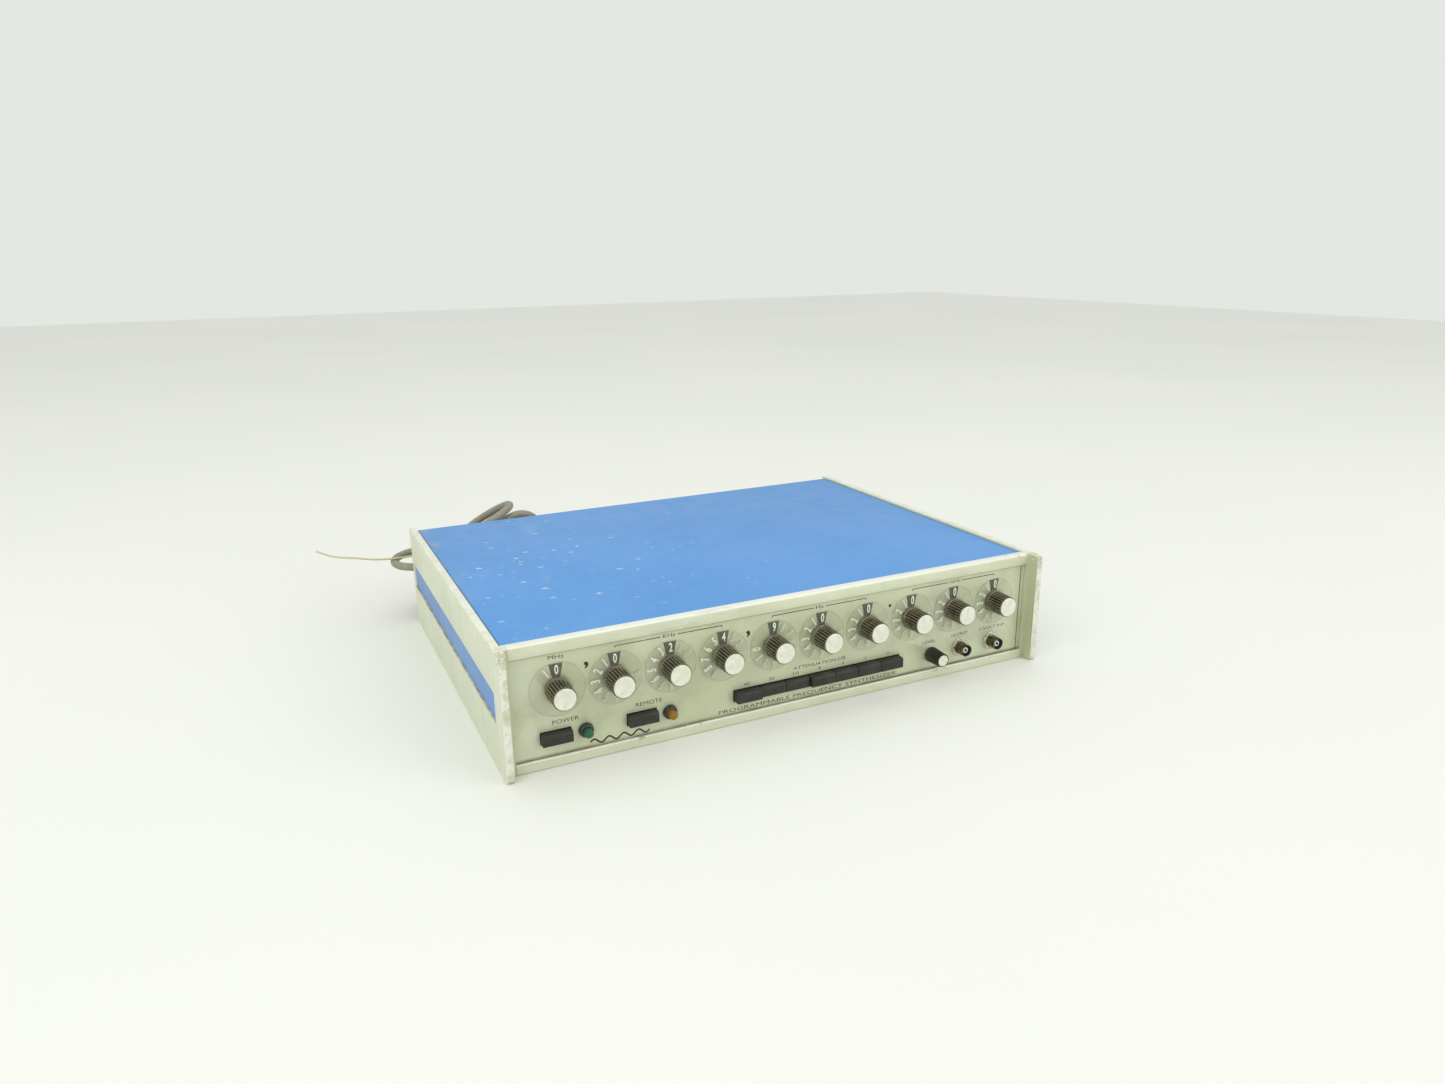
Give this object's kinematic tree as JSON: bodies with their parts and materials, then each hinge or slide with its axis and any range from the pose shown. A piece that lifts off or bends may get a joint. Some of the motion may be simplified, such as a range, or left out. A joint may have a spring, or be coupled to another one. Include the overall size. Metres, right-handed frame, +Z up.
{
  "type": "frequency synthesizer",
  "caption": "Flat bench frequency synthesizer with blue covers, a row of decade dials, push buttons, lamps, coaxial outputs and a tied mains cord behind it.",
  "frame": {"origin": "under the middle of the object's box without its cord, on the surface it stands on", "axes": "+X to the right seen from the front, +Y to the back, +Z up"},
  "size_m": [0.5104, 0.3925, 0.096],
  "materials": {
    "frame_paint": "satin cream-grey paint, worn at the edges",
    "rail_metal": "clear-coated extrusion, scuffed",
    "cover_paint": "satin blue paint with scuffs",
    "inlay": "satin blue strip",
    "panel": "satin grey panel with printed legends",
    "rear_metal": "chromated sheet",
    "screw": "plated",
    "button": "satin charcoal",
    "switch_body": "moulded",
    "knob": "fluted grip with a spun metal cap",
    "skirt": "clear disc with white numbers",
    "lamp_holder": "satin",
    "green_lens": "faceted clear plastic",
    "amber_lens": "faceted clear plastic",
    "jack_metal": "nickel plated, tarnished",
    "connector": "plated shell",
    "fuse_plastic": "black phenolic",
    "wafer": "phenolic wafers",
    "pot_can": "plated can",
    "board": "solder resist",
    "core": "varnished laminations",
    "can": "sleeved can",
    "relief": "moulded",
    "cord": "matt jacket",
    "tie": "coated wire",
    "plug": "moulded, with brass pins"
  },
  "bodies": {
    "case": {"left_side_frame": "frame_paint", "right_side_frame": "frame_paint", "side_inlays": "inlay", "switch_bracket": "rear_metal", "front_top_rail": "rail_metal", "front_bottom_rail": "rail_metal", "rear_rails": "rear_metal", "top_cover": "cover_paint", "bottom_cover": "cover_paint", "front_panel": "panel", "rear_panel": "rear_metal", "rear_panel_screws": "screw", "push_switches": "switch_body", "level_potentiometer": "pot_can", "lamp_holders": "lamp_holder", "power_lamp_lens": "green_lens", "remote_lamp_lens": "amber_lens", "coaxial_jacks": "jack_metal", "remote_connector": "connector", "fuse_holder": "fuse_plastic", "rotary_switches": "wafer", "main_board": "board", "mains_transformer": "core", "filter_capacitors": "can", "strain_relief": "relief", "mains_cord": "cord", "cord_hank": "cord", "cord_tie": "tie", "mains_plug": "plug"},
    "dial_1": {"dial_knob_1": "knob", "dial_skirt_1": "skirt"},
    "dial_2": {"dial_knob_2": "knob", "dial_skirt_2": "skirt"},
    "dial_3": {"dial_knob_3": "knob", "dial_skirt_3": "skirt"},
    "dial_4": {"dial_knob_4": "knob", "dial_skirt_4": "skirt"},
    "dial_5": {"dial_knob_5": "knob", "dial_skirt_5": "skirt"},
    "dial_6": {"dial_knob_6": "knob", "dial_skirt_6": "skirt"},
    "dial_7": {"dial_knob_7": "knob", "dial_skirt_7": "skirt"},
    "dial_8": {"dial_knob_8": "knob", "dial_skirt_8": "skirt"},
    "dial_9": {"dial_knob_9": "knob", "dial_skirt_9": "skirt"},
    "dial_10": {"dial_knob_10": "knob", "dial_skirt_10": "skirt"},
    "level_knob": {"level_knob": "knob"},
    "power_button": {"power_button": "button"},
    "remote_button": {"remote_button": "button"},
    "attenuator_button_40": {"attenuator_button_40": "button"},
    "attenuator_button_20": {"attenuator_button_20": "button"},
    "attenuator_button_10": {"attenuator_button_10": "button"},
    "attenuator_button_8": {"attenuator_button_8": "button"},
    "attenuator_button_4": {"attenuator_button_4": "button"},
    "attenuator_button_2": {"attenuator_button_2": "button"},
    "attenuator_button_1": {"attenuator_button_1": "button"},
    "fuse_cap": {"fuse_cap": "fuse_plastic"}
  },
  "joints": [
    {"name": "dial_1_turn", "type": "hinge", "parent": "case", "child": "dial_1", "pos_m": [-0.17716, -0.15, 0.054], "axis": [0, 1, 0], "range_deg": [0, 30]},
    {"name": "dial_2_turn", "type": "hinge", "parent": "case", "child": "dial_2", "pos_m": [-0.1378, -0.15, 0.054], "axis": [0, 1, 0], "range_deg": [0, 270]},
    {"name": "dial_3_turn", "type": "hinge", "parent": "case", "child": "dial_3", "pos_m": [-0.09842, -0.15, 0.054], "axis": [0, 1, 0], "range_deg": [-60, 210]},
    {"name": "dial_4_turn", "type": "hinge", "parent": "case", "child": "dial_4", "pos_m": [-0.05906, -0.15, 0.054], "axis": [0, 1, 0], "range_deg": [-120, 150]},
    {"name": "dial_5_turn", "type": "hinge", "parent": "case", "child": "dial_5", "pos_m": [-0.01969, -0.15, 0.054], "axis": [0, 1, 0], "range_deg": [-270, 0]},
    {"name": "dial_6_turn", "type": "hinge", "parent": "case", "child": "dial_6", "pos_m": [0.01969, -0.15, 0.054], "axis": [0, 1, 0], "range_deg": [0, 270]},
    {"name": "dial_7_turn", "type": "hinge", "parent": "case", "child": "dial_7", "pos_m": [0.05906, -0.15, 0.054], "axis": [0, 1, 0], "range_deg": [0, 270]},
    {"name": "dial_8_turn", "type": "hinge", "parent": "case", "child": "dial_8", "pos_m": [0.09842, -0.15, 0.054], "axis": [0, 1, 0], "range_deg": [0, 270]},
    {"name": "dial_9_turn", "type": "hinge", "parent": "case", "child": "dial_9", "pos_m": [0.1378, -0.15, 0.054], "axis": [0, 1, 0], "range_deg": [0, 270]},
    {"name": "dial_10_turn", "type": "hinge", "parent": "case", "child": "dial_10", "pos_m": [0.17716, -0.15, 0.054], "axis": [0, 1, 0], "range_deg": [0, 270]},
    {"name": "level_turn", "type": "hinge", "parent": "case", "child": "level_knob", "pos_m": [0.119, -0.15, 0.0198], "axis": [0, 1, 0], "range_deg": [-285, 15]},
    {"name": "power_button_press", "type": "slide", "parent": "case", "child": "power_button", "axis": [0, 1, 0], "range_m": [0, 0.0035]},
    {"name": "remote_button_press", "type": "slide", "parent": "case", "child": "remote_button", "axis": [0, 1, 0], "range_m": [0, 0.0035]},
    {"name": "attenuator_button_40_press", "type": "slide", "parent": "case", "child": "attenuator_button_40", "axis": [0, 1, 0], "range_m": [0, 0.0035]},
    {"name": "attenuator_button_20_press", "type": "slide", "parent": "case", "child": "attenuator_button_20", "axis": [0, 1, 0], "range_m": [-0.0023, 0.0012]},
    {"name": "attenuator_button_10_press", "type": "slide", "parent": "case", "child": "attenuator_button_10", "axis": [0, 1, 0], "range_m": [-0.0023, 0.0012]},
    {"name": "attenuator_button_8_press", "type": "slide", "parent": "case", "child": "attenuator_button_8", "axis": [0, 1, 0], "range_m": [0, 0.0035]},
    {"name": "attenuator_button_4_press", "type": "slide", "parent": "case", "child": "attenuator_button_4", "axis": [0, 1, 0], "range_m": [0, 0.0035]},
    {"name": "attenuator_button_2_press", "type": "slide", "parent": "case", "child": "attenuator_button_2", "axis": [0, 1, 0], "range_m": [0, 0.0035]},
    {"name": "attenuator_button_1_press", "type": "slide", "parent": "case", "child": "attenuator_button_1", "axis": [0, 1, 0], "range_m": [0, 0.0035]},
    {"name": "fuse_cap_turn", "type": "hinge", "parent": "case", "child": "fuse_cap", "pos_m": [0.02, 0.16, 0.06], "axis": [0, 1, 0], "range_deg": [0, 60]}
  ]
}
